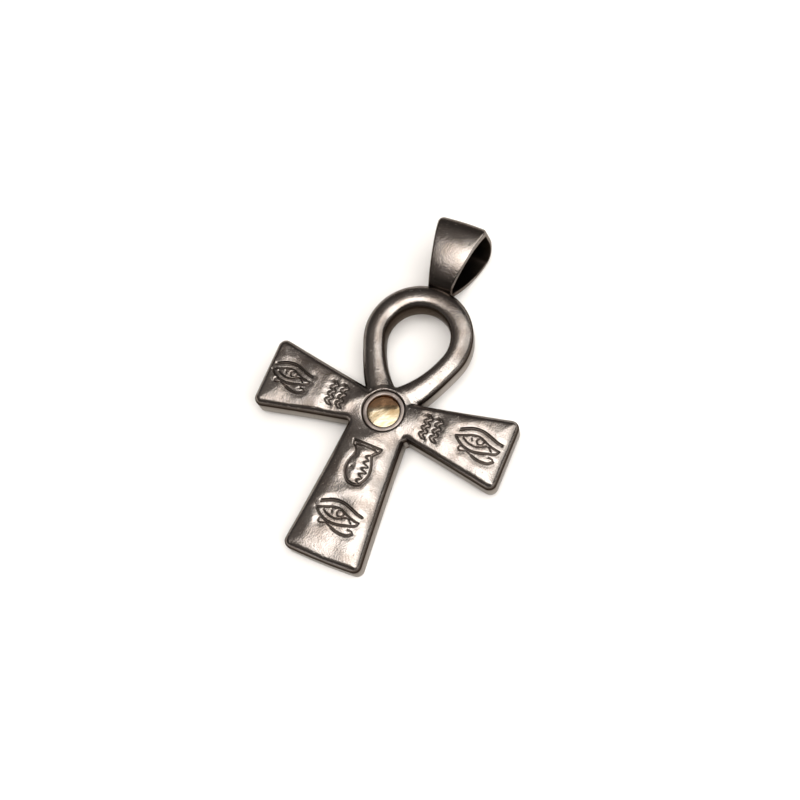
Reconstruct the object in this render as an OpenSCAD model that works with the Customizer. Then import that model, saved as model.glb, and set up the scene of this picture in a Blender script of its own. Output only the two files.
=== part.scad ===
// Ankh pendant: a cast cross with a teardrop loop and a fixed bail, a round bezel and its inlay.
// Millimetres. The pendant lies on its back, its front up, the bail towards +Y.
// Every piece is drawn flat, about the middle of the bezel, and then laid down as the whole rests.

/* [Cross] */
// Reach of each arm from the middle of the bezel
arm_reach = 18.4; // [16.5:0.1:21]
// Height of an arm where the arms meet
arm_root_h = 4; // [3.6:0.1:5]
// Height of an arm at its end
arm_end_h = 10.8; // [9.4:0.1:12.5]
// Reach of the leg from the middle of the bezel
leg_reach = 22.4; // [20.5:0.1:26]
// Width of the leg where it leaves the arms
leg_root_w = 8; // [7.2:0.1:9.4]
// Width of the leg at its foot
leg_foot_w = 11.7; // [10.2:0.1:13.5]
// Outward bow of the foot
foot_bow = 0.12; // [0.08:0.02:0.3]
// Inward bow of the long edges
edge_bow = 0.12; // [0:0.02:0.3]
// Radius of the corners at the ends
corner_r = 1.1; // [0.8:0.05:1.6]
// Height of the straight side walls
wall_h = 2.9; // [2.4:0.1:3.6]
// Rounding of the front edges
edge_r = 0.6; // [0.4:0.05:0.8]
// Rise of the front face from its edges to its middle
crown_h = 0.2; // [0.1:0.05:0.4]

/* [Loop] */
// Outer radius of the loop's round top
loop_r = 7.85; // [7.4:0.05:8.6]
// Distance from the bezel's middle up to the middle of the round top
loop_y = 12.1; // [11.6:0.1:13.5]
// Radius of the round top of the hole
hole_r = 4.7; // [4.2:0.05:5.2]
// Distance from the bezel's middle up to the hole's lower point
hole_foot_y = 4; // [3.95:0.05:4.8]
// Height of the loop's straight side walls
loop_wall_h = 2.5; // [2:0.1:3]
// Height of the loop's rounded front above its walls
loop_round_h = 1.2; // [0.8:0.1:1.5]

/* [Bail] */
// Length of the bail above the loop
bail_len = 10.5; // [9.5:0.1:12.5]
// Depth of the bail from front to back
bail_depth = 9.6; // [8.6:0.1:10.8]
// How far the bail stands behind the flat back
bail_drop = 4; // [3.2:0.1:4.8]
// Width of the bail at its foot
bail_foot_w = 3.5; // [2.6:0.1:4]
// Width of the bail at its top
bail_top_w = 7.6; // [6:0.1:8]
// Thickness of the bail's band
bail_wall = 0.9; // [0.7:0.05:1.2]

/* [Setting] */
// Diameter of the inlay
disc_d = 5; // [4.6:0.05:5.2]
// Thickness of the inlay at its rim
disc_t = 0.8; // [0.6:0.05:1]
// Rise of the inlay's face from its rim to its middle
disc_dome = 0.12; // [0:0.02:0.25]
// Wall of the bezel round the inlay
bezel_wall = 0.45; // [0.4:0.05:0.6]
// How far the bezel's lip reaches over the inlay
lip_reach = 0.15; // [0.1:0.05:0.3]
// Thickness of the lip
lip_t = 0.25; // [0.2:0.05:0.4]
// How far the bezel stands above the front edge of the arms
bezel_rise = 0.2; // [0.05:0.05:0.4]
// Gap between pieces that sit in each other
fit_gap = 0.05; // [0.03:0.01:0.1]

/* [Engraving] */
// Length of each eye from corner to corner
eye_len = 6.5; // [5.6:0.1:7.2]
// Distance from the bezel's middle to the iris on each arm
arm_eye_x = 14.25; // [13.6:0.05:15]
// Height of the iris above the middle line of the arms
arm_eye_y = 0.58; // [0.2:0.02:0.9]
// Distance from the bezel's middle down to the iris on the leg
leg_eye_y = 15.5; // [14.8:0.1:16.5]
// Height of the jar on the leg
jar_h = 5.9; // [5:0.1:6.4]
// Distance from the bezel's middle down to the middle of the jar
jar_y = 8.2; // [7.9:0.05:8.6]
// Length of each band of ripples
ripple_len = 3.4; // [2.8:0.1:3.8]
// Distance from the bezel's middle to the inner band of ripples
ripple_x = 6.4; // [6:0.05:6.8]
// Distance between the two bands of ripples on an arm
ripple_pitch = 1.6; // [1.4:0.05:1.8]
// Depth of the engraving
groove_d = 0.3; // [0.15:0.05:0.45]

/* [Hidden] */

steel = [0.62, 0.58, 0.55];
bezel_steel = [0.5, 0.46, 0.44];
gold = [0.87, 0.76, 0.52];

// Round parts and outlines
round_fn = 72;
iris_fn = 16;
half_turn = 180;
// The leg's edges have other steps than the arms', so that no two of their rings meet in one point
arm_edge_steps = 4;
leg_edge_steps = 6;
corner_steps = 4;
bow_steps = 5;
foot_steps = 4;
stroke_steps = 2;
// How far the limbs and the loop are drawn past the back before they are cut, and a cut past the front
under = 0.5;
over = 1;
// Smallest radius of a corner that is drawn in
least_corner_r = 0.08;

// How far in towards a limb's spine its face still rises, as a share of the way
crown_slope = 0.35;
leg_eye_x = 0.3;

// Heights above the flat back
face_h = wall_h + edge_r;
top_h = face_h + crown_h;
bezel_top = face_h + bezel_rise;
bezel_d = disc_d + 2 * (fit_gap + bezel_wall);
seat_d = bezel_d + 2 * fit_gap;
// The round pad under the bezel: how far it reaches past the hole's lower point, and its height up the edge
pad_margin = 0.03;
pad_rise_share = 0.7;
pad_d = 2 * (hole_foot_y + pad_margin);
pad_h = wall_h + pad_rise_share * edge_r;
pocket_floor = bezel_top - lip_t - disc_dome - disc_t - 2 * fit_gap;
seat_floor = pocket_floor - fit_gap;
bezel_bevel = 0.12;

// Loop: the angle below level at which its sides leave the round top, and how full its sides are
loop_turn = 21.5;
loop_fullness = 0.88;
loop_foot = [2.8, 1.5];
hole_turn = 19;
hole_fullness = 0.53;
hole_shift = 0.2;
hole_y = loop_y - hole_shift;
hole_foot_half = 0.15;
loop_top_y = loop_y + loop_r;
back_margin = 0.1;
back_end_y = loop_top_y + back_margin;
loop_side_steps = 6;
loop_arc_steps = 16;
loop_round_steps = 8;

// Side profile of the bail's outer face
// columns: share of its length above the loop, share of its depth from the back
bail_profile = [
    [-0.06, 0.60], [0.00, 0.705], [0.12, 0.86], [0.30, 0.95], [0.50, 0.985], [0.70, 1.00],
    [0.86, 0.98], [0.955, 0.88], [0.995, 0.69], [1.00, 0.45], [0.975, 0.23], [0.90, 0.07],
    [0.79, 0.00], [0.66, 0.005], [0.52, 0.04], [0.35, 0.135], [0.18, 0.26], [0.02, 0.43], [-0.06, 0.45]
];
bail_corner = 0.22;
// The block at the bail's foot: how much narrower than the band it is, its length, how far it sinks into
// the loop, how high above the back it begins and how far it stays below the band's front
foot_margin = 0.2;
foot_block_len = 1.6;
foot_sink = 1.12;
foot_start_h = 0.4;
foot_cover = 0.8;

// Strokes of an eye, about its iris
// columns: width of the groove, then points as shares of the eye's length
eye_strokes = [
    [0.46, [[-0.49, 0.115], [-0.25, 0.22], [-0.03, 0.234], [0.17, 0.174], [0.34, 0.108], [0.46, 0.085]]],
    [0.34, [[-0.54, -0.046], [-0.37, 0.015], [-0.20, 0.077], [-0.046, 0.09], [0.09, 0.04],
            [0.22, -0.018], [0.44, -0.065]]],
    [0.38, [[-0.54, -0.046], [-0.415, -0.155], [-0.28, -0.223], [-0.115, -0.255], [0.055, -0.24],
            [0.25, -0.19], [0.39, -0.146], [0.44, -0.065]]],
    [0.28, [[-0.375, -0.04], [-0.245, -0.11], [-0.08, -0.138], [0.06, -0.095], [0.18, -0.04], [0.29, -0.13]]],
    [0.26, [[-0.205, 0.01], [-0.18, -0.03]]],
    [0.40, [[-0.277, -0.26], [-0.09, -0.37], [0.055, -0.41], [0.20, -0.423], [0.33, -0.39], [0.385, -0.32],
            [0.36, -0.27], [0.28, -0.285]]],
    [0.30, [[-0.345, -0.19], [-0.395, -0.245], [-0.385, -0.31], [-0.32, -0.335], [-0.262, -0.29]]],
    [0.30, [[-0.345, -0.19], [-0.26, -0.29], [-0.17, -0.345]]]
];
iris_r = 0.075;
iris_groove = 0.28;

// Strokes of the jar, about its middle
// columns: width of the groove, then points as shares of the jar's height
jar_strokes = [
    [0.42, [[-0.356, 0.502], [0.342, 0.485]]],
    [0.34, [[-0.356, 0.502], [-0.335, 0.42], [-0.25, 0.34], [-0.212, 0.27], [-0.212, 0.19]]],
    [0.50, [[-0.212, 0.19], [-0.27, 0.05], [-0.292, -0.12], [-0.266, -0.27], [-0.18, -0.41],
            [-0.066, -0.486], [0.068, -0.5], [0.188, -0.454]]],
    [0.38, [[0.342, 0.485], [0.33, 0.424], [0.254, 0.34], [0.203, 0.263], [0.237, 0.153], [0.28, 0.042],
            [0.305, -0.076], [0.305, -0.19], [0.26, -0.32], [0.188, -0.454]]],
    [0.30, [[-0.27, 0.42], [0.0, 0.44], [0.24, 0.41], [0.20, 0.305]]]
];
// columns: across and up, as shares of the jar's height, for the root and the tip of each tooth
jar_teeth = [
    [[0.17, 0.27], [0.06, 0.21]], [[0.17, 0.137], [0.06, 0.063]], [[0.22, -0.011], [0.06, -0.085]],
    [[0.23, -0.159], [0.06, -0.233]], [[0.19, -0.307], [0.06, -0.38]]
];
jar_teeth_end = [0.13, -0.44];
jar_teeth_groove = 0.28;
jar_notch = [-0.166, -0.115];

// Ripples: half width of a band, height of its waves and how many half waves run along it
ripple_half_w = 0.38;
ripple_wave = 0.17;
ripple_waves = 7;
ripple_groove = 0.28;

// Corners of the round ends of a groove
groove_fn = 8;

function lerp(a, b, t) = a + (b - a) * t;

// Smooth open curve through the points p, with n steps from each point to the next
function knot(p, i) = p[max(0, min(len(p) - 1, i))];
function curve_at(p, i, t) =
    let (a = knot(p, i - 1), b = knot(p, i), c = knot(p, i + 1), d = knot(p, i + 2))
    0.5 * (2 * b + (c - a) * t + (2 * a - 5 * b + 4 * c - d) * t * t + (3 * b - a - 3 * c + d) * t * t * t);
function curve(p, n) =
    [for (i = [0 : len(p) - 2], k = [0 : n - 1]) curve_at(p, i, k / n), p[len(p) - 1]];

// Closed solid through a list of rings with flat ends. Seen from the last ring, each runs anticlockwise
module loft(rings) {
    n = len(rings[0]);
    last = len(rings) - 1;
    polyhedron(
        points = [for (ring = rings, p = ring) p],
        faces = concat(
            [[for (i = [0 : n - 1]) i]],
            [for (k = [0 : last - 1], i = [0 : n - 1])
                each let (a = k * n + i, b = k * n + (i + 1) % n) [[a, b + n, b], [a, a + n, b + n]]],
            [[for (i = [n - 1 : -1 : 0]) last * n + i]]
        ),
        convexity = 8
    );
}

// A limb is its reach, its widths at the root and at the end, and the bow of its end with its steps
arm = [arm_reach, arm_root_h, arm_end_h, 0, 1];
leg = [leg_reach, leg_root_w, leg_foot_w, foot_bow, foot_steps];

// Half width of a limb at the distance s along it, on its unrounded edge
function limb_half(limb, s) =
    let (t = s / limb[0]) lerp(limb[1], limb[2], t) / 2 - edge_bow * 4 * t * (1 - t);

// Slope of a limb's long edge where it reaches the end
function limb_slope(limb) = atan2((limb[2] - limb[1]) / 2 + 4 * edge_bow, limb[0]);

// One long edge, corner and half end of a limb drawn in by d. It holds its first point, on the root,
// where root is 0, and its last, in the middle of the end, where tip is 1
function limb_side(limb, d, root, tip) =
    let (slope = limb_slope(limb), r = max(corner_r - d, least_corner_r), cx = limb[0] - limb[3] - d - r,
         cy = limb[2] / 2 - (limb[3] + d + r) * tan(slope) - (d + r) / cos(slope), s1 = cx - r * sin(slope))
    concat(
        [for (k = [root : bow_steps - 1]) let (s = s1 * k / bow_steps) [s, limb_half(limb, s) - d]],
        [for (k = [0 : corner_steps]) let (a = (90 + slope) * (1 - k / corner_steps))
            [cx + r * cos(a), cy + r * sin(a)]],
        [for (k = [1 : 1 : limb[4] - 1 + tip]) let (t = 1 - k / limb[4])
            [limb[0] - d - limb[3] * t * t, cy * t]]
    );

function backwards(list) = [for (k = [len(list) - 1 : -1 : 0]) list[k]];

// Plan of the two arms in one, and of the leg, drawn in by d all round
function arms_plan(d) =
    let (side = limb_side(arm, d, 0, 0), rest = limb_side(arm, d, 1, 0))
    concat([for (p = rest) [p[0], -p[1]]], backwards(side), [for (p = rest) [-p[0], p[1]]],
           [for (p = backwards(side)) -p]);
function leg_plan(d) =
    concat([for (p = limb_side(leg, d, 0, 1)) [-p[1], -p[0]]],
           [for (p = backwards(limb_side(leg, d, 0, 0))) [p[1], -p[0]]]);

// Rings of a limb: its wall from under the back, the rounded front edge and the slope up to its top
function cast_rings(rims, spine) =
    let (steps = len(rims) - 1)
    concat(
        [for (h = [-under, wall_h]) [for (p = rims[0]) [p[0], p[1], h]]],
        [for (k = [1 : steps - 1]) [for (p = rims[k]) [p[0], p[1], wall_h + edge_r * sin(90 * k / steps)]]],
        [for (row = [[0, face_h], [crown_slope, top_h]]) [for (k = [0 : len(spine) - 1])
            let (q = lerp(rims[steps][k], spine[k], row[0])) [q[0], q[1], row[1]]]]
    );
function rim_insets(steps) = [for (k = [0 : steps]) edge_r * (1 - cos(90 * k / steps))];

arm_rims = [for (d = rim_insets(arm_edge_steps)) arms_plan(d)];
leg_rims = [for (d = rim_insets(leg_edge_steps)) leg_plan(d)];
arm_spine_end = arm_reach - arm_end_h / 2;
leg_spine_end = leg_reach - leg_foot_w / 2;
arm_rings = cast_rings(arm_rims, [for (p = arm_rims[0]) [max(-arm_spine_end, min(arm_spine_end, p[0])), 0]]);
leg_rings = cast_rings(leg_rims, [for (p = leg_rims[0]) [0, max(-leg_spine_end, p[1])]]);

// One side of a teardrop, from its foot up to its round top
function drop_side(r, mid, foot, turn, fullness, n) =
    let (top = [r * cos(turn), mid - r * sin(turn)],
         bend = top + [-sin(turn), -cos(turn)] * norm(foot - top) * fullness)
    [for (k = [0 : n - 1]) let (t = k / n)
        foot * (1 - t) * (1 - t) + bend * 2 * t * (1 - t) + top * t * t];
function drop_line(r, mid, foot, turn, fullness) =
    let (side = drop_side(r, mid, foot, turn, fullness, loop_side_steps))
    concat(
        side,
        [for (k = [0 : loop_arc_steps]) let (a = lerp(-turn, half_turn + turn, k / loop_arc_steps))
            [r * cos(a), mid + r * sin(a)]],
        [for (k = [loop_side_steps - 1 : -1 : 0]) [-side[k][0], side[k][1]]]
    );

loop_outer = drop_line(loop_r, loop_y, loop_foot, loop_turn, loop_fullness);
loop_inner = drop_line(hole_r, hole_y, [hole_foot_half, hole_foot_y], hole_turn, hole_fullness);

// Section of the loop: share of the way from its inner to its outer edge, and height
loop_section = concat(
    [[0, -under]],
    [for (k = [0 : loop_round_steps]) let (a = half_turn * k / loop_round_steps)
        [(1 - cos(a)) / 2, loop_wall_h + loop_round_h * sin(a)]],
    [[1, -under]]
);

module loop() {
    loft([for (i = [0 : len(loop_outer) - 1])
        [for (q = loop_section) let (p = lerp(loop_inner[i], loop_outer[i], q[0])) [p[0], p[1], q[1]]]]);
}

// Outer line of the bail from the side: distance up the pendant and height above its back
bail_line = [for (p = curve(bail_profile, 2)) [loop_top_y + bail_len * p[0], bail_depth * p[1] - bail_drop]];

// Half width of the bail's band at the distance y up the pendant
function bail_half(y) =
    lerp(bail_foot_w, bail_top_w, max(0, min(1, (y - loop_top_y) / bail_len))) / 2;

// Direction into the band at point i of its outer line
function bail_inward(i) =
    let (u = knot(bail_line, i + 1) - knot(bail_line, i - 1)) [u[1], -u[0]] / norm(u);

function bail_ring(i) =
    let (p = bail_line[i], inward = bail_inward(i), w = bail_half(p[0]), c = bail_corner)
    [for (q = [[c, 0], [0, c], [0, bail_wall - c], [c, bail_wall]])
        let (at = p + inward * q[1]) [w - q[0], at[0], at[1]],
     for (q = [[c, bail_wall], [0, bail_wall - c], [0, c], [c, 0]])
        let (at = p + inward * q[1]) [q[0] - w, at[0], at[1]]];

module bail() {
    loft([for (i = [0 : len(bail_line) - 1]) bail_ring(i)]);
    // The foot, where the band's two ends meet the loop
    block = [bail_foot_w - foot_margin, foot_block_len, bail_line[2][1] - foot_cover - foot_start_h];
    translate([-block[0] / 2, loop_top_y - foot_sink, foot_start_h]) cube(block);
}

// A groove's plan: a line of straight strokes with round ends
module stroke(points, w) {
    last = len(points) - 1;
    for (i = [1 : last])
        hull()
            for (p = [points[i - 1], points[i]])
                translate(p) circle(d = w, $fn = groove_fn);
}

module eye() {
    for (row = eye_strokes)
        stroke([for (p = curve(row[1], stroke_steps)) eye_len * p], row[0]);
    difference() {
        circle(r = eye_len * iris_r + iris_groove / 2, $fn = iris_fn);
        circle(r = eye_len * iris_r - iris_groove / 2, $fn = iris_fn);
    }
}

module jar() {
    for (row = jar_strokes)
        stroke([for (p = curve(row[1], stroke_steps)) jar_h * p], row[0]);
    teeth = concat([for (tooth = jar_teeth) each tooth], [jar_teeth_end]);
    stroke([for (p = teeth) jar_h * p], jar_teeth_groove);
    translate(jar_h * jar_notch) circle(d = jar_teeth_groove, $fn = groove_fn);
}

// A band of ripples: two wavy grooves side by side, joined at their ends
module ripples() {
    line = [for (k = [0 : ripple_waves])
        [ripple_wave * (k % 2 == 0 ? -1 : 1), ripple_len * (0.5 - k / ripple_waves)]];
    side = [ripple_half_w, 0];
    stroke(concat([for (p = line) p - side], [for (p = backwards(line)) p + side], [line[0] - side]),
        ripple_groove);
}

module engraving() {
    translate([0, 0, top_h - groove_d]) linear_extrude(groove_d + over) {
        for (side = [-1, 1]) {
            translate([side * arm_eye_x, arm_eye_y]) eye();
            for (k = [0, 1]) translate([side * (ripple_x + k * ripple_pitch), 0]) ripples();
        }
        translate([leg_eye_x, -leg_eye_y]) eye();
        translate([0, -jar_y]) jar();
    }
}

// How far the pendant leans when it lies on its foot and on the back of its bail
lean = max([for (p = bail_line) atan2(-p[1], p[0] + leg_reach)]);

// Where the two ends of the laid pendant are, to put the origin half way
function laid_y(y, z) = y * cos(lean) - z * sin(lean);
laid_foot = min([for (ring = leg_rings, p = ring) laid_y(p[1], max(p[2], 0))]);
laid_top = max([for (p = bail_line) laid_y(p[0], p[1])]);

module laid() {
    translate([0, -(laid_foot + laid_top) / 2, leg_reach * sin(lean)])
        rotate([lean, 0, 0])
            children();
}

module ankh_body() {
    color(steel) laid() difference() {
        union() {
            loft(arm_rings);
            loft(leg_rings);
            loop();
            bail();
            translate([0, 0, -under]) cylinder(h = pad_h + under, d = pad_d, $fn = round_fn);
        }
        // The flat back, which ends where the bail begins
        translate([-2 * arm_reach, -2 * leg_reach, -2 * under])
            cube([4 * arm_reach, 2 * leg_reach + back_end_y, 2 * under]);
        translate([0, 0, seat_floor]) cylinder(h = face_h, d = seat_d, $fn = round_fn);
        engraving();
    }
}

module bezel_ring() {
    outer = bezel_d / 2;
    pocket = disc_d / 2 + fit_gap;
    lip = disc_d / 2 - lip_reach;
    color(bezel_steel) laid() rotate_extrude($fn = round_fn)
        polygon([
            [pocket, pocket_floor], [outer, pocket_floor], [outer, bezel_top - bezel_bevel],
            [outer - bezel_bevel, bezel_top], [lip + bezel_bevel, bezel_top], [lip, bezel_top - bezel_bevel],
            [lip, bezel_top - lip_t], [pocket, bezel_top - lip_t]
        ]);
}

module gold_disc() {
    rim_top = bezel_top - lip_t - fit_gap;
    face_r = disc_d / 2 - lip_reach - fit_gap;
    dome_steps = 6;
    color(gold) laid() rotate_extrude($fn = round_fn)
        polygon(concat(
            [[0, rim_top - disc_t], [disc_d / 2, rim_top - disc_t], [disc_d / 2, rim_top]],
            [for (k = [0 : dome_steps]) let (a = 90 * k / dome_steps)
                [face_r * cos(a), rim_top + disc_dome * sin(a)]]
        ));
}

ankh_body();
bezel_ring();
gold_disc();
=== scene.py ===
import math
import bpy
import numpy as np
from mathutils import Matrix, Vector
from mathutils.geometry import delaunay_2d_cdt


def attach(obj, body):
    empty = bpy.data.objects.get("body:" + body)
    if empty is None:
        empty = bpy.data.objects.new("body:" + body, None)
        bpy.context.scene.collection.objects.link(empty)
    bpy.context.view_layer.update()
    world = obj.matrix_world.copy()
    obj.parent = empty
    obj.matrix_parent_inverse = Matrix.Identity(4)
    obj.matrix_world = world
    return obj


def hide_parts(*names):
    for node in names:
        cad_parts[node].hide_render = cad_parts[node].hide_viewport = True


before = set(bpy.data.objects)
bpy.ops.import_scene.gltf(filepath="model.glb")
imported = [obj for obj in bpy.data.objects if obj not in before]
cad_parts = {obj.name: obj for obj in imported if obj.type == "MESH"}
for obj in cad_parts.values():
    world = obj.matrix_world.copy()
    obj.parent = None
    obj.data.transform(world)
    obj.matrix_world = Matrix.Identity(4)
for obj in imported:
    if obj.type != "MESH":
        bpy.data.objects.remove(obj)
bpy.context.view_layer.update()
# sizes below are millimetres in the pendant's own flat frame: back at 0, front up, bail towards +Y
metre = 0.001  # turns them into metres
tiny = 1e-12  # smallest number to divide by

# how the pendant lies: on its foot and on the back of its bail
resting = dict(lean=4.61996, shift=-3.88746, lift=1.80424)
leanTurn = Matrix.Rotation(math.radians(resting["lean"]), 3, "X")


def layDown(points):
    turned = np.asarray(points, float) @ np.array(leanTurn).T
    return (turned + [0, resting["shift"], resting["lift"]]) * metre


# camera, in the flat frame too, but what it clips is in metres
photoView = dict(turnX=-14.0143, turnY=-15.2184, turnZ=-23.6398, across=-1.76918, up=-2.67855,
                 distance=176.395, lens=56.25, sensor=36.0, near=0.01, far=20)


def makeCamera(view):
    turnX, turnY, turnZ = (Matrix.Rotation(math.radians(view["turn" + axis]), 3, axis) for axis in "XYZ")
    aim = (turnZ @ turnX @ turnY).transposed()
    stand = aim @ Vector((-view["across"], -view["up"], view["distance"]))
    data = bpy.data.cameras.new("photoCamera")
    data.sensor_width, data.lens = view["sensor"], view["lens"]
    data.clip_start, data.clip_end = view["near"], view["far"]
    camera = bpy.data.objects.new("photoCamera", data)
    place, turn = Vector(layDown([stand])[0]), (leanTurn @ aim).to_quaternion()
    camera.matrix_world = Matrix.LocRotScale(place, turn, None)
    bpy.context.scene.collection.objects.link(camera)
    bpy.context.scene.camera = camera


makeCamera(photoView)
print("camera set")


# outlines of the cross and its loop
cross = dict(armReach=18.4, armRoot=4.0, armEnd=10.8, legReach=22.4, legRoot=8.0, legFoot=11.7,
             footBow=0.12, edgeBow=0.12, corner=1.1, leastCorner=0.08,
             edgeSteps=60, cornerSteps=14, endSteps=30,
             wall=2.62, edge=0.86, pillow=0.26, pillowWidth=2.6, crown=0.16, legCrown=0.4, legCrownFrom=5,
             padRadius=4.03, padRise=0.42, padSink=1.2, padEdge=0.6, padEdgeWidth=0.9)
fillet = dict(radius=0.42, steps=13, lap=0.004, root=0.35, probe=0.2)  # in the corners of arms and leg
ring = dict(outer=dict(radius=7.85, middle=12.1, foot=(2.8, 1.5), turn=21.5, full=0.88),
            inner=dict(radius=4.7, middle=11.9, foot=(0.15, 4.0), turn=19.0, full=0.53),
            wall=2.5, round=1.2, fullness=0.8)
loopTop = ring["outer"]["middle"] + ring["outer"]["radius"]


def limbSide(reach, root, end, bow, inset=0.0):
    # one long edge, corner and half end, from the root to the middle of the end
    slope = math.atan2((end - root) / 2 + 4 * cross["edgeBow"], reach)
    r = max(cross["corner"] - inset, cross["leastCorner"])
    cx = reach - bow - inset - r
    cy = end / 2 - (bow + inset + r) * math.tan(slope) - (inset + r) / math.cos(slope)
    s = np.linspace(0, cx - r * math.sin(slope), cross["edgeSteps"], endpoint=False)
    t = s / reach
    edge = np.c_[s, root / 2 + (end - root) / 2 * t - cross["edgeBow"] * 4 * t * (1 - t) - inset]
    a = np.linspace(math.pi / 2 + slope, 0, cross["cornerSteps"], endpoint=False)
    t = np.linspace(1, 0, cross["endSteps"])
    return np.r_[edge, np.c_[cx + r * np.cos(a), cy + r * np.sin(a)],
                 np.c_[reach - inset - bow * t * t, cy * t]]


def armsLine(inset=0.0):
    side = limbSide(cross["armReach"], cross["armRoot"], cross["armEnd"], 0.0, inset)
    return np.r_[side[1:-1] * [1, -1], side[::-1], side[1:-1] * [-1, 1], -side[::-1]]


def legLine(inset=0.0):
    side = limbSide(cross["legReach"], cross["legRoot"], cross["legFoot"], cross["footBow"], inset)[:, ::-1]
    return np.r_[side * [-1, -1], side[-2::-1] * [1, -1]]


def dropLine(radius, middle, foot, turn, full, sideSteps=40, arcSteps=120):
    turn = math.radians(turn)
    foot, top = np.array(foot), np.array([radius * math.cos(turn), middle - radius * math.sin(turn)])
    bend = top - np.array([math.sin(turn), math.cos(turn)]) * np.linalg.norm(foot - top) * full
    t = np.linspace(0, 1, sideSteps, endpoint=False)[:, None]
    side = foot * (1 - t) ** 2 + bend * 2 * t * (1 - t) + top * t * t
    a = np.linspace(-turn, math.pi + turn, arcSteps)
    return np.r_[side, np.c_[radius * np.cos(a), middle + radius * np.sin(a)], side[::-1] * [-1, 1]]


def circleLine(radius, steps=150):
    a = np.linspace(0, 2 * math.pi, steps, endpoint=False)
    return radius * np.c_[np.cos(a), np.sin(a)]


def resample(line, step, closed=True):
    pts = np.r_[line, line[:1]] if closed else np.asarray(line, float)
    length = np.r_[0, np.cumsum(np.linalg.norm(np.diff(pts, axis=0), axis=1))]
    at = np.linspace(0, length[-1], max(2, int(round(length[-1] / step)) + 1))
    found = np.c_[np.interp(at, length, pts[:, 0]), np.interp(at, length, pts[:, 1])]
    return found[:-1] if closed else found


def isInside(points, polygon):
    x, y = points[:, 0], points[:, 1]
    hit = np.zeros(len(points), bool)
    for a, b in zip(polygon, np.roll(polygon, -1, axis=0)):
        if a[1] != b[1]:
            hit ^= ((a[1] > y) != (b[1] > y)) & (x < (b[0] - a[0]) * (y - a[1]) / (b[1] - a[1]) + a[0])
    return hit


def distanceTo(points, line, closed=True):
    if closed:
        return distanceToEdges(points, line, np.roll(line, -1, axis=0))
    return distanceToEdges(points, line[:-1], line[1:])


def distanceToEdges(points, starts, ends):
    best = np.full(len(points), math.inf)
    for a, b in zip(starts, ends):
        run = b - a
        t = np.clip(((points - a) @ run) / max(run @ run, tiny), 0, 1)
        best = np.minimum(best, ((points - a - t[:, None] * run) ** 2).sum(1))
    return np.sqrt(best)


loopOuter, loopInner = dropLine(**ring["outer"]), dropLine(**ring["inner"])
outlines = dict(arms=armsLine(), leg=legLine(), loop=loopOuter, hole=loopInner,
                pad=circleLine(cross["padRadius"]))


def cornerFills(lineA, lineB, size):
    # rounded patches that fill the inner corners where two outlines cross
    runA, runB = np.roll(lineA, -1, axis=0) - lineA, np.roll(lineB, -1, axis=0) - lineB
    away = lineB[None] - lineA[:, None]
    turn = runA[:, None, 0] * runB[None, :, 1] - runA[:, None, 1] * runB[None, :, 0]
    turn = np.where(np.abs(turn) < tiny, tiny, turn)
    t = (away[..., 0] * runB[None, :, 1] - away[..., 1] * runB[None, :, 0]) / turn
    u = (away[..., 0] * runA[:, None, 1] - away[..., 1] * runA[:, None, 0]) / turn
    fills = []
    for i, j in np.argwhere((t >= 0) & (t < 1) & (u >= 0) & (u < 1)):
        corner = lineA[i] + t[i, j] * runA[i]
        ways = []
        for run, other in ((runA[i], lineB), (runB[j], lineA)):
            way = run / np.linalg.norm(run)
            ways.append(-way if isInside(np.array([corner + way * size["probe"]]), other)[0] else way)
        half = math.acos(np.clip(ways[0] @ ways[1], -1, 1)) / 2
        middleWay = (ways[0] + ways[1]) / np.linalg.norm(ways[0] + ways[1])
        middle = corner + middleWay * size["radius"] / math.sin(half)
        ends = [corner + way * size["radius"] / math.tan(half) - middle for way in ways]
        first, sweep = math.atan2(ends[0][1], ends[0][0]), math.atan2(ends[1][1], ends[1][0])
        sweep = (sweep - first + math.pi) % (2 * math.pi) - math.pi
        a = first + sweep * np.linspace(0, 1, size["steps"])
        arc = middle + size["radius"] * np.c_[np.cos(a), np.sin(a)]
        fills.append((middle, a))
        patch = np.r_[arc - middleWay * size["lap"], [corner - middleWay * size["root"]]]
        outlines["fill%d" % len(fills)] = patch
    return fills


fillArcs = cornerFills(outlines["arms"], outlines["leg"], fillet)
crossNames = [name for name in outlines if name not in ("loop", "hole")]


def inAny(points, names):
    hit = np.zeros(len(points), bool)
    for name in names:
        hit |= isInside(points, outlines[name])
    return hit


def inMetal(points):
    inLoop = isInside(points, outlines["loop"]) & ~isInside(points, outlines["hole"])
    return inAny(points, crossNames) | inLoop


def openEdges(names):
    # the parts of these outlines that lie in none of the others
    starts, ends = [], []
    for name in names:
        line = resample(outlines[name], bodyMesh["rimStep"])
        after = np.roll(line, -1, axis=0)
        free = ~inAny((line + after) / 2, [other for other in names if other != name])
        starts.append(line[free])
        ends.append(after[free])
    return np.concatenate(starts), np.concatenate(ends)


# engraved signs: each eye's length and middle, grooves as widths, and each sign lies in a shallow hollow
engraving = dict(eyes=[(6.5, 14.25, 0.58), (6.0, -14.25, 0.58), (6.5, 0.3, -15.5)], irisRadius=0.075,
                 irisGroove=0.28, irisSteps=24, strokeSteps=5,
                 jarHeight=5.9, jarMiddle=(0.0, -8.2), toothGroove=0.28, notchGroove=0.3,
                 rippleAt=(6.4, 8.0), rippleLength=3.4, rippleHalf=0.25, rippleWave=0.25, rippleWaves=7,
                 rippleSteps=4, rippleGroove=0.36, rippleFloor=0.66, rippleFloorLength=0.94,
                 depth=0.22, width=0.8, soft=1.25, fullHalf=0.13, search=1.8,
                 hollow=0.07, hollowReach=0.8, hollowFade=1.2)

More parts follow.
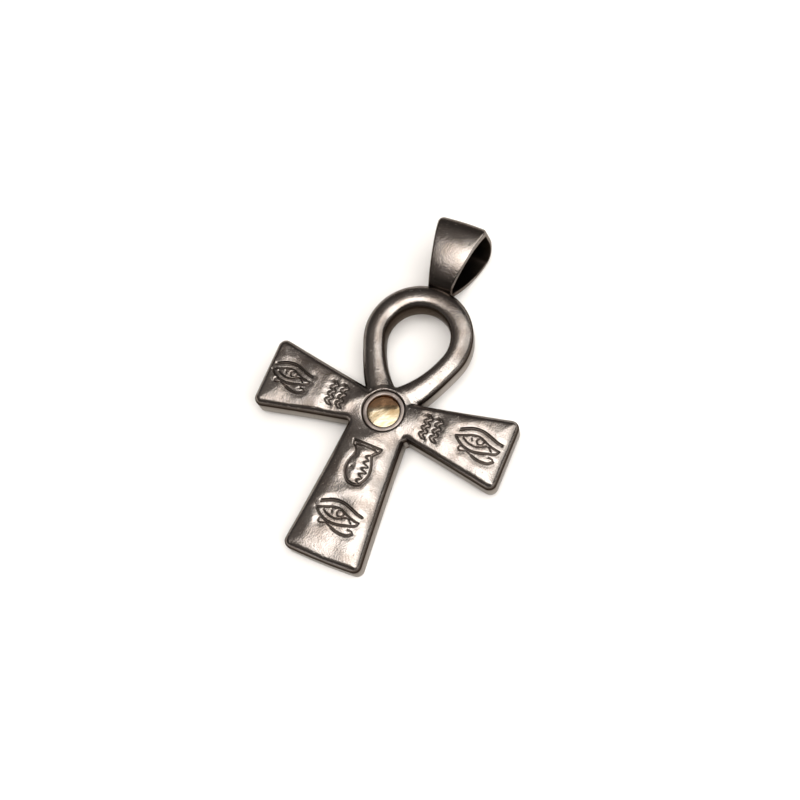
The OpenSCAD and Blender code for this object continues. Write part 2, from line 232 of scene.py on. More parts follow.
# columns: width of the groove, then points as shares of the eye's length, about its iris
eyeStrokes = [
    (0.46, [(-0.49, 0.115), (-0.25, 0.22), (-0.03, 0.234), (0.17, 0.174), (0.34, 0.108), (0.46, 0.085)]),
    (0.34, [(-0.54, -0.046), (-0.37, 0.015), (-0.20, 0.077), (-0.046, 0.09), (0.09, 0.04), (0.22, -0.018),
            (0.44, -0.065)]),
    (0.38, [(-0.54, -0.046), (-0.415, -0.155), (-0.28, -0.223), (-0.115, -0.255), (0.055, -0.24),
            (0.25, -0.19), (0.39, -0.146), (0.44, -0.065)]),
    (0.28, [(-0.375, -0.04), (-0.245, -0.11), (-0.08, -0.138), (0.06, -0.095), (0.18, -0.04), (0.29, -0.13)]),
    (0.26, [(-0.205, 0.01), (-0.18, -0.03)]),
    (0.42, [(-0.07, -0.345), (0.06, -0.39), (0.20, -0.405), (0.32, -0.385), (0.40, -0.32)]),
    (0.26, [(0.40, -0.32), (0.37, -0.272), (0.28, -0.265)]),
    (0.26, [(-0.345, -0.19), (-0.20, -0.285), (-0.06, -0.345)]),
    (0.26, [(-0.345, -0.19), (-0.385, -0.25), (-0.375, -0.315), (-0.30, -0.315), (-0.24, -0.29)]),
]
# columns: width of the groove, then points as shares of the jar's height, about its middle
jarStrokes = [
    (0.42, [(-0.356, 0.502), (0.342, 0.485)]),
    (0.34, [(-0.356, 0.502), (-0.335, 0.42), (-0.25, 0.34), (-0.212, 0.27), (-0.212, 0.19)]),
    (0.50, [(-0.212, 0.19), (-0.27, 0.05), (-0.292, -0.12), (-0.266, -0.27), (-0.18, -0.41), (-0.066, -0.486),
            (0.068, -0.5), (0.188, -0.454)]),
    (0.38, [(0.342, 0.485), (0.33, 0.424), (0.254, 0.34), (0.203, 0.263), (0.237, 0.153), (0.28, 0.042),
            (0.305, -0.076), (0.305, -0.19), (0.26, -0.32), (0.188, -0.454)]),
    (0.30, [(-0.27, 0.42), (0.0, 0.44), (0.24, 0.41), (0.20, 0.305)]),
]
# columns: across and up, as shares of the jar's height, for the root and the tip of each tooth
jarTeeth = [((0.17, 0.27), (0.06, 0.21)), ((0.17, 0.137), (0.06, 0.063)), ((0.22, -0.011), (0.06, -0.085)),
            ((0.23, -0.159), (0.06, -0.233)), ((0.19, -0.307), (0.06, -0.38))]
jarTeethEnd = (0.13, -0.44)
jarNotch = [(-0.166, -0.115), (-0.160, -0.113)]


def smoothCurve(points, steps):
    p = np.array(points, float)
    q = np.r_[p[:1], p, p[-1:]]
    t = np.linspace(0, 1, steps, endpoint=False)[:, None]
    runs = [0.5 * (2 * b + (c - a) * t + (2 * a - 5 * b + 4 * c - d) * t * t
                   + (3 * b - a - 3 * c + d) * t ** 3)
            for a, b, c, d in zip(q[:-3], q[1:-2], q[2:-1], q[3:])]
    return np.r_[np.concatenate(runs), p[-1:]]


def engravedLines(cut):
    # half width, line and depth of every groove, the depth as a share of the full one
    found = []

    def place(strokes, size, middle):
        for width, points in strokes:
            found.append((width / 2, smoothCurve(points, cut["strokeSteps"]) * size + middle, 1.0))

    for length, *eyeAt in cut["eyes"]:
        place(eyeStrokes, length, eyeAt)
        iris = circleLine(cut["irisRadius"] * length, cut["irisSteps"])
        found.append((cut["irisGroove"] / 2, np.r_[iris, iris[:1]] + eyeAt, 1.0))
    place(jarStrokes, cut["jarHeight"], cut["jarMiddle"])
    teeth = [point for tooth in jarTeeth for point in tooth] + [jarTeethEnd]
    for width, points in ((cut["toothGroove"], teeth), (cut["notchGroove"], jarNotch)):
        found.append((width / 2, np.array(points) * cut["jarHeight"] + cut["jarMiddle"], 1.0))
    k = np.arange(cut["rippleWaves"] + 1)
    wave = np.c_[np.where(k % 2 == 0, -1, 1) * cut["rippleWave"],
                 cut["rippleLength"] * (0.5 - k / cut["rippleWaves"])]
    wave = smoothCurve(wave, cut["rippleSteps"])
    half = np.array([cut["rippleHalf"], 0])
    band = np.r_[wave - half, wave[::-1] + half, wave[:1] - half]
    floor = wave * [1, cut["rippleFloorLength"]]
    for x in cut["rippleAt"]:
        for side in (-1, 1):
            found.append((cut["rippleGroove"] / 2, band + [side * x, 0], 1.0))
            found.append((cut["rippleHalf"], floor + [side * x, 0], cut["rippleFloor"]))
    return found


grooves = engravedLines(engraving)


# heights of the body's front
waviness = dict(seed=7, waves=14, longest=9.0, shortest=3.0, rise=0.013)
dice = np.random.default_rng(waviness["seed"])
lengths = math.log(waviness["shortest"]), math.log(waviness["longest"])
waveTable = [(dice.uniform(0, 2 * math.pi), dice.uniform(0, 2 * math.pi),
              2 * math.pi / math.exp(dice.uniform(*lengths))) for _ in range(waviness["waves"])]
# recess under the bezel, and the rows of points round it; chord allows for the short steps of its edge
seat = dict(radius=3.0, floor=2.38, shoulder=0.2, fall=0.26, step=0.1, rows=(0.03, 0.08, 0.15, 0.23, 0.33),
            rowSteps=180, clear=0.01, chord=0.9995)
# columns: from and to, height and half width of the low ridges between the signs
ridges = [((-5.9, -1.4), (-3.0, 1.65), 0.10, 0.8), ((-1.9, -5.2), (2.0, -2.6), 0.08, 0.8),
          ((-3.0, -14.4), (1.9, -10.6), 0.07, 0.9)]
# how softly the limbs, loop and pad run into each other, and how fast each falls outside its outline
merging = dict(limbs=0.1, loop=0.6, pad=0.4, fall=4)


def softMax(a, b, blend):
    near = np.clip(blend - np.abs(a - b), 0, None) / blend
    return np.maximum(a, b) + blend * near * near / 4


def edgeRise(depth):
    # wall and rounded edge, depth counted inwards from the outline
    inner, soft = np.clip(depth / cross["edge"], 0, 1), np.clip(depth / cross["pillowWidth"], 0, 1)
    rounding = cross["edge"] * np.sqrt(1 - (1 - inner) ** 2) + cross["pillow"] * (1 - (1 - soft) ** 2)
    return cross["wall"] + rounding + merging["fall"] * np.minimum(depth, 0)


def limbDome(across, along, reach, root, end, rise):
    # soft crown that fades towards the sides and the end of a limb
    u = np.clip(np.abs(across) / np.interp(along, [0, reach], [root / 2, end / 2]), 0, 1)
    v = np.clip(along / reach, 0, 1)
    return rise * (1 - u ** 2) * (1 - v ** 4)


def bodyHeight(points):
    # height of the front, and how far each point lies inside the metal
    x, y = points[:, 0], points[:, 1]
    fromHole = np.where(isInside(points, loopInner), -1, 1) * distanceTo(points, loopInner)
    fromOuter = np.where(isInside(points, loopOuter), 1, -1) * distanceTo(points, loopOuter)
    inside = distanceToEdges(points, *openEdges(crossNames)) * np.where(inAny(points, crossNames), 1, -1)
    # cross: rounded edges under a soft dome on each limb
    arms = limbDome(y, np.abs(x), cross["armReach"], cross["armRoot"], cross["armEnd"], cross["crown"])
    leg = limbDome(x, -y, cross["legReach"], cross["legRoot"], cross["legFoot"], cross["legCrown"])
    leg = leg * np.clip(-y / cross["legCrownFrom"], 0, 1)
    limbs = edgeRise(inside) + softMax(arms, leg, merging["limbs"])
    # loop: half round section from its hole to its outer edge
    toHole, toOuter = np.maximum(fromHole, 0), np.maximum(fromOuter, 0)
    q = toHole / np.maximum(toHole + toOuter, tiny)
    loop = ring["wall"] + ring["round"] * np.sqrt(np.clip(1 - (2 * q ** ring["fullness"] - 1) ** 2, 0, 1))
    loop = loop + merging["fall"] * (np.minimum(fromOuter, 0) + np.minimum(fromHole, 0))
    # raised pad round the bezel
    fromPad = cross["padRadius"] - np.hypot(x, y)
    pad = cross["wall"] + cross["edge"] + cross["padRise"] - cross["padSink"]
    pad = pad + cross["padEdge"] * np.sqrt(np.clip(fromPad / cross["padEdgeWidth"], 0, 1))
    pad = pad + merging["fall"] * np.minimum(fromPad, 0)
    height = softMax(softMax(limbs, loop, merging["loop"]), pad, merging["pad"])
    # cast and tumbled: broad shallow waves
    swell = sum(np.sin((x * math.cos(a) + y * math.sin(a)) * k + b) / k for a, b, k in waveTable)
    height = height + swell * waviness["rise"] * np.clip(inside, 0, 1)
    for start, end, rise, half in ridges:
        away = distanceTo(points, np.array([start, end]), closed=False) / half
        height = height + rise * np.exp(-away ** 2) * np.clip(inside, 0, 1)
    fromSeat = np.hypot(x, y) - seat["radius"]
    height = height - seat["fall"] * np.clip(1 - fromSeat / seat["shoulder"], 0, 1) ** 2
    return height, np.maximum(inside, np.minimum(fromHole, fromOuter))


def grooveDepth(points, cut):
    # 0 away from the grooves and 1 at their floors, and the same for the hollows round them
    depth, hollow = np.zeros(len(points)), np.zeros(len(points))
    for half, line, force in grooves:
        half *= cut["width"]
        low, high = line.min(0) - cut["search"], line.max(0) + cut["search"]
        near = np.nonzero(((points > low) & (points < high)).all(1))[0]
        if len(near):
            away = distanceTo(points[near], line, closed=False)
            s = np.clip(away / (half * cut["soft"]), 0, 1)
            depth[near] = np.maximum(depth[near], force * min(1, half / cut["fullHalf"]) * (1 - s * s) ** 2)
            s = 1 - np.clip((away - half) / cut["hollowReach"], 0, 1)
            hollow[near] = np.maximum(hollow[near], s * s * (3 - 2 * s))
    return depth, hollow


# mesh of the body, which is a front, walls and a flat back: spacing of its points, turns in degrees, and rows
# down the walls as shares of their height
bodyMesh = dict(rimStep=0.13, rimTurns=(11, 22, 33, 44, 55, 66, 78, 90),
                loopStep=0.02, loopPoints=420, loopTurns=(10, 180, 9),
                grooveStep=0.1, grooveRows=(0, -0.4, 0.4, -0.8, 0.8, -1.15, 1.15, -1.6, 1.6),
                grooveClear=0.055, grid=0.16, gridRow=0.866, gridX=(-19, 19), gridY=(-23, 21),
                gridShake=0.008, gridClear=0.07, joins=1e-5, leastArea=1e-9, onLine=1e-6,
                wallLevels=(0.97, 0.82, 0.55, 0.25), backRound=0.14, backTurns=(0, 30, 60, 90),
                backJoins=1e-7)
cellRow = 1000003  # more cells than any row has
# painted shade and painted reflection, as marks for the steel's colour: 1 as dark as a groove, darkest from
# 1.5, below 0 paler than the front, a painted reflection of the floor. First painted shade at the rim and how
# far in that fades, then by share of height, on the outer walls and in the loop's hole
paintedShadeAndReflection = dict(rim=1.6, reach=0.5, rimFade=1.5, levels=(0, 0.35, 0.8, 1), wall=(-0.5, -0.5, -0.4, 1.2),
              hole=(0.7, 0.8, 1.0, 1.5))


def constraintLine(points, edges, line):
    start = len(points)
    points.extend(map(tuple, line))
    edges.extend((start + i, start + (i + 1) % len(line)) for i in range(len(line)))


def cellsOf(points, size, shift=(0, 0)):
    cells = np.floor(points / size).astype(np.int64) + shift
    return cells[:, 0] * cellRow + cells[:, 1]


def cellsNear(points, size):
    shifts = [(i, j) for i in (-1, 0, 1) for j in (-1, 0, 1)]
    return np.unique(np.concatenate([cellsOf(points, size, shift) for shift in shifts]))


def thin(points, size, taken=()):
    # leaves out the points in cells that are taken, or that share a cell
    key = cellsOf(points, size)
    keep = np.zeros(len(points), bool)
    keep[np.unique(key, return_index=True)[1]] = True
    return points[keep & ~np.isin(key, taken)]


def unit(rows):
    return rows / np.maximum(np.linalg.norm(rows, axis=1, keepdims=True), tiny)


def evenPoints(line, count):
    fine = resample(line, bodyMesh["loopStep"])
    share, at = np.linspace(0, 1, count), np.linspace(0, 1, len(fine))
    return np.c_[np.interp(share, at, fine[:, 0]), np.interp(share, at, fine[:, 1])]


def makeFront(size):
    points, edges = [], []
    for line in outlines.values():
        constraintLine(points, edges, resample(line, size["rimStep"]))
    constraintLine(points, edges, resample(circleLine(seat["radius"]), seat["step"]))
    # rows that follow the rounded edges, the loop, the recess and the grooves
    rows = []
    for turn in size["rimTurns"]:
        inset = cross["edge"] * (1 - math.cos(math.radians(turn)))
        rows += [resample(armsLine(inset), size["rimStep"]), resample(legLine(inset), size["rimStep"])]
        rows += [middle + (fillet["radius"] + inset) * np.c_[np.cos(a), np.sin(a)] for middle, a in fillArcs]
    outer, inner = evenPoints(loopOuter, size["loopPoints"]), evenPoints(loopInner, size["loopPoints"])
    loopTurns = np.radians(np.arange(*size["loopTurns"]))
    rows += [inner + (outer - inner) * q for q in (1 - np.cos(loopTurns)) / 2]
    rows += [circleLine(seat["radius"] + away, seat["rowSteps"]) for away in seat["rows"]]
    grooveRows = []
    for half, line, _ in grooves:
        line = resample(line, size["grooveStep"], closed=False)
        run = np.gradient(line, axis=0)
        side = unit(np.c_[-run[:, 1], run[:, 0]])
        grooveRows += [line + side * half * share for share in size["grooveRows"]]
    rows, grooveRows = np.concatenate(rows), thin(np.concatenate(grooveRows), size["grooveClear"])
    # a loose grid between them
    step = size["grid"]
    gx, gy = np.meshgrid(np.arange(*size["gridX"], step), np.arange(*size["gridY"], step * size["gridRow"]))
    gx = gx + np.where(np.arange(len(gy)) % 2 == 0, 0, step / 2)[:, None]
    grid = np.c_[gx.ravel(), gy.ravel()] + dice.uniform(-size["gridShake"], size["gridShake"], (gx.size, 2))
    taken = cellsNear(np.r_[np.array(points), rows, grooveRows], size["gridClear"])
    grid = thin(grid, size["gridClear"], taken)
    loose = np.r_[rows, grooveRows, grid]
    inBody = inMetal(loose) | (distanceTo(loose, outlines["arms"]) < size["onLine"])
    loose = loose[inBody & (np.hypot(loose[:, 0], loose[:, 1]) > seat["radius"] + seat["clear"])]
    points += list(map(tuple, loose))
    found = delaunay_2d_cdt([Vector(p) for p in points], edges, [], 0, size["joins"], False)
    verts, faces = np.array([(v.x, v.y) for v in found[0]]), np.array(found[2])
    middle = verts[faces].mean(1)
    faces = faces[inMetal(middle) & (np.hypot(middle[:, 0], middle[:, 1]) > seat["radius"] * seat["chord"])]
    a, b, c = (verts[faces[:, k]] for k in range(3))
    area = (b[:, 0] - a[:, 0]) * (c[:, 1] - a[:, 1]) - (b[:, 1] - a[:, 1]) * (c[:, 0] - a[:, 0])
    faces = np.where(area[:, None] < 0, faces[:, ::-1], faces)[np.abs(area) > size["leastArea"]]
    return verts, faces


def rimLoops(faces):
    # closed runs of the edges that only one triangle uses, metal on the left
    directed = np.concatenate([faces[:, [0, 1]], faces[:, [1, 2]], faces[:, [2, 0]]])
    used = set(map(tuple, directed))
    after = {a: b for a, b in used if (b, a) not in used}
    loops = []
    while after:
        start, run = next(iter(after)), []
        at = start
        while at in after:
            run.append(at)
            at = after.pop(at)
        loops.append(np.array(run))
    return loops


def makeBody(size):
    flat, faces = makeFront(size)
    height, inside = bodyHeight(flat)
    depth, hollow = grooveDepth(flat, engraving)
    hollow = hollow * np.clip(inside / engraving["hollowFade"], 0, 1)
    height = height - engraving["depth"] * depth - engraving["hollow"] * hollow
    # painted shade: a dark band along the front's rim
    rimShade = paintedShadeAndReflection["rim"] * np.clip(1 - inside / paintedShadeAndReflection["reach"], 0, 1) ** paintedShadeAndReflection["rimFade"]
    verts, shade = [np.c_[flat, height]], [np.maximum(depth, rimShade)]
    quads, count = [], len(flat)
    backPoints, backEdges, backIndex = [], [], []
    for run in rimLoops(faces):
        edge = flat[run]
        if np.hypot(edge[:, 0], edge[:, 1]).max() < seat["radius"] + seat["shoulder"]:
            # the recess under the bezel, its floor marked dark as painted shade
            below = count + np.arange(len(run))
            verts.append(np.c_[edge, np.full(len(run), seat["floor"])])
            shade.append(np.ones(len(run)))
            quads += stitch(run, below) + [tuple(below)]
            count += len(run)
            continue
        isHole = (isInside(loopInner.mean(0)[None], edge)[0]
                  and np.abs(edge[:, 0]).max() < ring["outer"]["radius"])
        marks = paintedShadeAndReflection["hole" if isHole else "wall"]
        ahead = unit(np.roll(edge, -1, axis=0) - edge)
        mean = unit(ahead + np.roll(ahead, 1, axis=0))
        inward = np.c_[-mean[:, 1], mean[:, 0]]
        # down the wall and round into the back, which isn't marked; painted shade under the rim and in the
        # loop's hole, and lower on the outer walls a paler painted reflection of the floor
        r, rimTop = size["backRound"], height[run]
        rows = [(0, rimTop * level + r * (1 - level), np.interp(level, paintedShadeAndReflection["levels"], marks))
                for level in size["wallLevels"]]
        for turn in size["backTurns"]:
            down, across = 1 - math.sin(math.radians(turn)), 1 - math.cos(math.radians(turn))
            rows.append((r * across, np.full(len(run), r * down), marks[0] if turn < 90 else 0))
        above = run
        for inset, z, mark in rows:
            below = count + np.arange(len(run))
            verts.append(np.c_[edge + inward * inset, z])
            shade.append(np.full(len(run), mark))
            quads += stitch(above, below)
            above, count = below, count + len(run)
        constraintLine(backPoints, backEdges, edge + inward * r)
        backIndex.append(above)
    backIndex = np.concatenate(backIndex)
    found = delaunay_2d_cdt([Vector(p) for p in backPoints], backEdges, [], 0, size["backJoins"], True)
    backVerts = np.array([(v.x, v.y) for v in found[0]])
    toBody = np.array([backIndex[ids[0]] if ids else -1 for ids in found[3]])
    tris = np.array(found[2])
    tris = tris[inMetal(backVerts[tris].mean(1)) & (toBody[tris] >= 0).all(1)]
    back = toBody[tris][:, ::-1]
    allFaces = [tuple(f) for f in faces] + quads + [tuple(f) for f in back]
    return np.concatenate(verts), allFaces, np.concatenate(shade)


def stitch(above, below):
    nextUp, nextDown = np.roll(above, -1), np.roll(below, -1)
    return [(b, a, c, d) for a, b, c, d in zip(above, nextUp, below, nextDown)]


def tubeFaces(rows, n, capped=False):
    # quads between rows of n points, and a face over each end if capped
    faces = [(k * n + i, k * n + (i + 1) % n, (k + 1) * n + (i + 1) % n, (k + 1) * n + i)
             for k in range(rows - 1) for i in range(n)]
    if capped:
        faces += [tuple(range(n - 1, -1, -1)), tuple((rows - 1) * n + i for i in range(n))]
    return faces


# bail: a tapered band, bent over and joined at its foot; its corners and rounding start at shares of its
# length or depth, and its inside is painted dark with shade from this far into the band
bail = dict(length=10.49, depth=9.6, drop=4.0, footWidth=3.6, topWidth=7.8, wall=0.9, crown=0.13,
            corner=0.34, topCorner=0.6, cornerRange=(0.75, 0.99), innerCorner=0.15,
            topRound=0.5, roundFrom=0.87, frontFrom=0.5, frontFade=0.3,
            curveSteps=7, faceSteps=15, cornerSteps=7, clear=0.97, smoothing=10,
            insideFrom=0.8, insideShade=1.5)
# columns: share of its length above the loop, share of its depth from the back
bailProfile = [(-0.08, 0.50), (-0.02, 0.69), (0.05, 0.775), (0.14, 0.845), (0.30, 0.925), (0.48, 0.98),
               (0.62, 1.00), (0.78, 0.985), (0.90, 0.945), (0.96, 0.885), (0.99, 0.79), (1.00, 0.65),
               (1.00, 0.46), (0.985, 0.28), (0.935, 0.12), (0.85, 0.025), (0.75, 0.00), (0.64, 0.01),
               (0.52, 0.04), (0.35, 0.135), (0.18, 0.26), (0.02, 0.43), (-0.06, 0.45)]
# painted shade, darkest where the bail meets the loop; columns: share of its length above the loop, how dark
# it is there
bailPaintedShade = [(0, 0.9), (0.05, 0.68), (0.25, 0.64), (0.45, 0.42)]


def bailSection(half, r, size):
    # points across and into the band, from the outer face round to the inner one and back
    inner, wall = size["innerCorner"], size["wall"]
    turn = np.radians(np.linspace(90, 0, size["cornerSteps"]))
    face = np.linspace(half - r, r - half, size["faceSteps"])
    drop = size["crown"] * ((half - r) / half) ** 2
    return np.r_[np.c_[face, size["crown"] * (face / half) ** 2],
                 np.c_[r - half - r * np.cos(turn), drop + r - r * np.sin(turn)][1:],
                 np.c_[inner - half - inner * np.cos(turn[::-1]), wall - inner + inner * np.sin(turn[::-1])],
                 np.c_[half - inner + inner * np.cos(turn), wall - inner + inner * np.sin(turn)],
                 np.c_[half - r + r * np.cos(turn[::-1]), drop + r - r * np.sin(turn[::-1])][:-1]]


def makeBail(size):
    line = smoothCurve(bailProfile, size["curveSteps"]) * [size["length"], size["depth"]]
    line = line + [loopTop, -size["drop"]]
    run = unit(np.gradient(line, axis=0))
    inner = line + np.c_[run[:, 1], -run[:, 0]] * size["wall"]
    # points that fold over in a tight bend are worked out from those beside them
    clear = distanceTo(inner, line, closed=False) > size["clear"] * size["wall"]
    steps = np.arange(len(line))
    inner = np.c_[tuple(np.interp(steps, steps[clear], inner[clear, k]) for k in (0, 1))]
    for _ in range(size["smoothing"]):
        inner[1:-1] = (inner[:-2] + 2 * inner[1:-1] + inner[2:]) / 4
    verts, marks = [], []
    for p, into in zip(line, (inner - line) / size["wall"]):
        share = min(1, max(0, (p[0] - loopTop) / size["length"]))
        half = (size["footWidth"] + (size["topWidth"] - size["footWidth"]) * share) / 2
        # rounded at its front top alone
        front = (p[1] + size["drop"]) / size["depth"]
        front = min(1, max(0, (front - size["frontFrom"]) / size["frontFade"]))
        half -= size["topRound"] * front * max(0, (share - size["roundFrom"]) / (1 - size["roundFrom"])) ** 2
        # painted shade, low on the bail and inside the band
        paintedLowShade = np.interp(share, *zip(*bailPaintedShade))
        corner = np.interp(share, size["cornerRange"], [size["corner"], size["topCorner"]])
        for across, depth in bailSection(half, corner, size):
            verts.append((across, p[0] + into[0] * depth, p[1] + into[1] * depth))
            inside = np.interp(depth, [size["insideFrom"], size["wall"]], [0, size["insideShade"]])
            marks.append(max(paintedLowShade, inside))
    return np.array(verts), tubeFaces(len(line), len(verts) // len(line), capped=True), np.array(marks)


# the weld between the loop and the two ends of the bail
bailFoot = dict(halfWidth=1.4, halfLength=0.72, under=0.3, squareness=0.5, steps=40)
# columns: height, how much wider
footRings = [(0.5, -0.25), (0.7, -0.05), (1.2, 0), (1.7, 0), (2.0, -0.06), (2.2, -0.2), (2.3, -0.5)]


def makeBailFoot(size):
    a = np.linspace(0, 2 * math.pi, size["steps"], endpoint=False)
    x, y = (np.sign(way) * np.abs(way) ** size["squareness"] for way in (np.cos(a), np.sin(a)))
    verts = np.concatenate([np.c_[(size["halfWidth"] + grow) * x,
                                  loopTop - size["under"] + (size["halfLength"] + grow) * y,
                                  np.full(size["steps"], z)] for z, grow in footRings])
    # marks of 1 give the whole foot the groove's dark colour, painted shade where bail and loop meet
    return verts, tubeFaces(len(footRings), size["steps"], capped=True), np.ones(len(verts))


# bezel and disc, turned on a lathe; the bezel's waves are rise, number round it and start
bezel = dict(outer=2.95, inner=2.33, pocket=2.55, top=3.7, floor=2.43, bevel=0.14, lip=0.25, sink=0.02,
             waves=[(0.012, 3, 1), (0.008, 5, 0)])
# the disc's sheet is bent along a wavy line, whose waves are width, rate and start
disc = dict(radius=2.5, core=0.001, seen=2.3, rimTop=3.4, thick=0.8, dome=0.17, domeTurn=89.5, domeSteps=28,
            bendTurn=113, bendAt=0.25, bend=0.13, bendSoft=0.05, bendWaves=[(0.16, 2.1, 0.6), (0.07, 5.3, 0)],
            tilt=0.05, tiltAlong=0.6, swell=0.008, swellAcross=1.9, swellAlong=2.3, swellFade=2.2,
            middleShift=3.58)  # the laid disc's middle is this far towards the foot


def lathe(profile, wobble, steps=144):
    a = np.linspace(0, 2 * math.pi, steps, endpoint=False)
    verts = [(r * math.cos(t), r * math.sin(t), z + wobble(r, t)) for r, z in profile for t in a]
    return verts, tubeFaces(len(profile), steps)


def roundCorner(cx, cz, r, fromDeg, toDeg, steps=6):
    turn = np.radians(np.linspace(fromDeg, toDeg, steps))
    return list(zip(cx + r * np.cos(turn), cz + r * np.sin(turn)))


def waves(table, at):
    return sum(size * math.sin(rate * at + start) for size, rate, start in table)


def makeBezel(size):
    outer, inner, pocket, floor, top = (size[key] for key in ("outer", "inner", "pocket", "floor", "top"))
    bevel, lip = size["bevel"], top - size["lip"]
    profile = [(pocket, floor), (outer, floor), *roundCorner(outer - bevel, top - bevel, bevel, 0, 90),
               *roundCorner(inner + bevel, top - bevel, bevel, 90, 180),
               (inner, lip), (pocket, lip), (pocket, floor)]
    return lathe(profile, lambda r, t: waves(size["waves"], t) - size["sink"])


def makeDisc(size):
    low = size["rimTop"] - size["thick"]
    turn = np.radians(np.linspace(0, size["domeTurn"], size["domeSteps"]))
    profile = [(size["core"], low), (size["radius"], low), (size["radius"], size["rimTop"]),
               *zip(size["seen"] * np.cos(turn), size["rimTop"] + size["dome"] * np.sin(turn))]

    def bendDown(r, t):
        if r > size["seen"]:
            return 0.0
        t -= math.radians(size["bendTurn"])
        along, across = r * math.cos(t), r * math.sin(t)
        past = along - size["bendAt"] - waves(size["bendWaves"], across)
        fall = size["bend"] * (past + math.sqrt(past * past + size["bendSoft"])) / 2
        fall -= size["tilt"] * (across + along * size["tiltAlong"])
        fade = min(1, (1 - (r / size["seen"]) ** 2) * size["swellFade"])
        swell = 1 + math.sin(size["swellAcross"] * across + size["swellAlong"] * along)
        return -fall - size["swell"] * swell * fade
    return lathe(profile, bendDown)


def addPiece(name, parts, attribute=None):
    # each part is its points, its faces and, if any, its marks for the attribute
    verts, faces, marks, at = [], [], [], 0
    for points, partFaces, *mark in parts:
        verts.append(layDown(points))
        faces += [tuple(int(i) + at for i in face) for face in partFaces]
        marks += mark
        at += len(points)
    mesh = bpy.data.meshes.new(name)
    mesh.from_pydata(np.concatenate(verts).tolist(), [], faces)
    mesh.validate()
    mesh.shade_smooth()
    if attribute:
        data = mesh.attributes.new(attribute, "FLOAT", "POINT")
        data.data.foreach_set("value", np.concatenate(marks).astype(np.float32))
    piece = bpy.data.objects.new(name, mesh)
    bpy.context.scene.collection.objects.link(piece)
    return piece


# finishes
class Signal:
    # a node's output, used as a number in a formula
    def __init__(self, finish, socket):
        self.finish, self.socket = finish, socket

    def maths(self, kind, other, swapped=False):
        pair = {0: other, 1: self} if swapped else {0: self, 1: other}
        return self.finish.node("ShaderNodeMath", dict(operation=kind), pair)

    def __add__(self, other): return self.maths("ADD", other)
    def __radd__(self, other): return self.maths("ADD", other, True)
    def __sub__(self, other): return self.maths("SUBTRACT", other)
    def __rsub__(self, other): return self.maths("SUBTRACT", other, True)
    def __mul__(self, other): return self.maths("MULTIPLY", other)
    def __rmul__(self, other): return self.maths("MULTIPLY", other, True)


class Nodes:
    def __init__(self, tree):
        self.tree = tree

    def node(self, kind, settings, sockets, output=0):
        made = self.tree.nodes.new(kind)
        for key, value in settings.items():
            if key == "stops":
                while len(made.color_ramp.elements) < len(value):
                    made.color_ramp.elements.new(0.5)
                for element, (position, tint) in zip(made.color_ramp.elements, value):
                    element.position, element.color = position, (*tint, 1)
            else:
                setattr(made, key, value)
        self.fill(made, sockets)
        return Signal(self, made.outputs[output])

    def fill(self, made, sockets):
        for key, value in sockets.items():
            socket = made.inputs[key]
            if isinstance(value, Signal):
                self.tree.links.new(value.socket, socket)
            else:
                socket.default_value = (*value, 1) if socket.type == "RGBA" else value

    def spread(self, value, low, high, toLow=0.0, toHigh=1.0):
        return self.node("ShaderNodeMapRange", dict(interpolation_type="SMOOTHSTEP"),
                         {"Value": value, "From Min": low, "From Max": high,
                          "To Min": toLow, "To Max": toHigh})

    def blend(self, share, under, over):
        return self.node("ShaderNodeMix", dict(data_type="RGBA"), {0: share, 6: under, 7: over}, 2)

    def dot(self, way, fixed):
        return self.node("ShaderNodeVectorMath", dict(operation="DOT_PRODUCT"), {0: way, 1: fixed}, "Value")


class Finish(Nodes):
    def __init__(self, name, surface):
        self.material = bpy.data.materials.new(name)
        self.material.use_nodes = True
        super().__init__(self.material.node_tree)
        self.tree.nodes.clear()
        self.skin = self.tree.nodes.new("ShaderNodeBsdfPrincipled")
        out = self.tree.nodes.new("ShaderNodeOutputMaterial")
        self.tree.links.new(self.skin.outputs["BSDF"], out.inputs["Surface"])
        self.place = self.node("ShaderNodeTexCoord", {}, {}, "Object")
        self.wear(surface)

    def wear(self, surface):
        self.fill(self.skin, surface)

    def cloud(self, size, detail=3.0, roughness=0.5):
        # noise whose features are about size millimetres across
        return self.node("ShaderNodeTexNoise", {}, {"Vector": self.place, "Scale": 1 / (size * metre),
                                                    "Detail": detail, "Roughness": roughness}, "Fac")

    def bump(self, height, strength, depth):
        return self.node("ShaderNodeBump", {}, {"Strength": strength, "Distance": depth * metre,
                                                "Height": height})


# in the looks, a noise is its size in millimetres, detail and roughness, a range is where a mark starts and
# where it is full, and bumpDepth is in millimetres
# in steelLook, wall is a painted reflection of the floor on the lower walls, rim the darkest painted shade at
# the rims, in the hole and inside the bail, and the light specks are painted glints
steelLook = dict(bright=(0.28, 0.258, 0.242), worn=(0.225, 0.196, 0.176), pit=(0.12, 0.10, 0.085),
                 paintedGlint=(0.48, 0.45, 0.42), wall=(0.62, 0.6, 0.57), groove=(0.068, 0.056, 0.048),
                 rim=(0.022, 0.017, 0.014), tint=(0.45, 0.43, 0.41),
                 smudgeNoise=(3.2, 4), grainNoise=(0.22, 5, 0.6), pitNoise=(0.5, 2),
                 glintNoise=(0.17, 3, 0.7), dentNoise=(0.9, 3),
                 wornRange=(0.38, 0.66), pitRange=(0.66, 0.74), glintRange=(0.52, 0.72),
                 wallRange=(0, -1), grooveRange=(0.3, 0.92), rimRange=(1.0, 1.5), dullRange=(0.7, 1.0),
                 pitShare=0.25, glintShare=0.4,
                 roughness=0.07, smudgeRough=0.12, grainRough=0.05, dullRough=0.22,
                 grainRise=1.5, dentRise=1.1, pitDrop=0.9, bump=0.6, bumpDepth=0.03)


